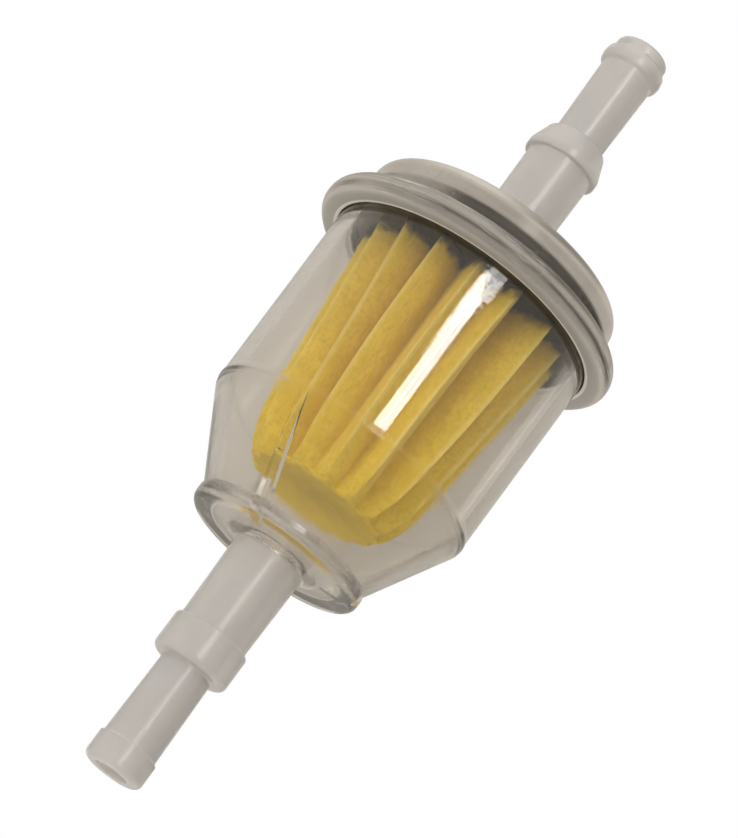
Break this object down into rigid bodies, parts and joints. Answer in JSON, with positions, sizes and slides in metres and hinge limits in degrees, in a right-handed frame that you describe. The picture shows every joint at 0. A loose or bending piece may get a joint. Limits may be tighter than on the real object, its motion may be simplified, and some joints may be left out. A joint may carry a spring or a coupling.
{
  "type": "fuel filter",
  "caption": "Inline fuel filter: clear bowl crimped to a drawn steel cap around a pleated paper element, with a stepped hose nipple at each end.",
  "frame": {"origin": "on the flow axis, midway between the two hose ends, which is the centre of the part's box", "axes": "+Z along the flow axis, from the inlet nipple at the plastic bowl to the outlet nipple at the steel cap; +X is square to it through one of the bowl's three inner ribs"},
  "size_m": [0.0372, 0.0372, 0.1006],
  "materials": {
    "clear_plastic": "clear, glossy",
    "milky_plastic": "milky, satin",
    "plated_steel": "satin, drawn",
    "seal_rubber": "matte",
    "dark_plate": "satin",
    "potting": "matte",
    "filter_paper": "fibrous",
    "adhesive": "matte"
  },
  "bodies": {
    "root": {"bowl": "clear_plastic", "inlet_nipple": "milky_plastic", "cap": "plated_steel", "outlet_nipple": "milky_plastic", "nipple_seal": "seal_rubber", "rim_gasket": "seal_rubber", "element_plate": "dark_plate", "potting_ring": "potting", "pleated_paper": "filter_paper", "end_adhesive": "adhesive", "element_end_disc": "filter_paper"}
  },
  "joints": []
}
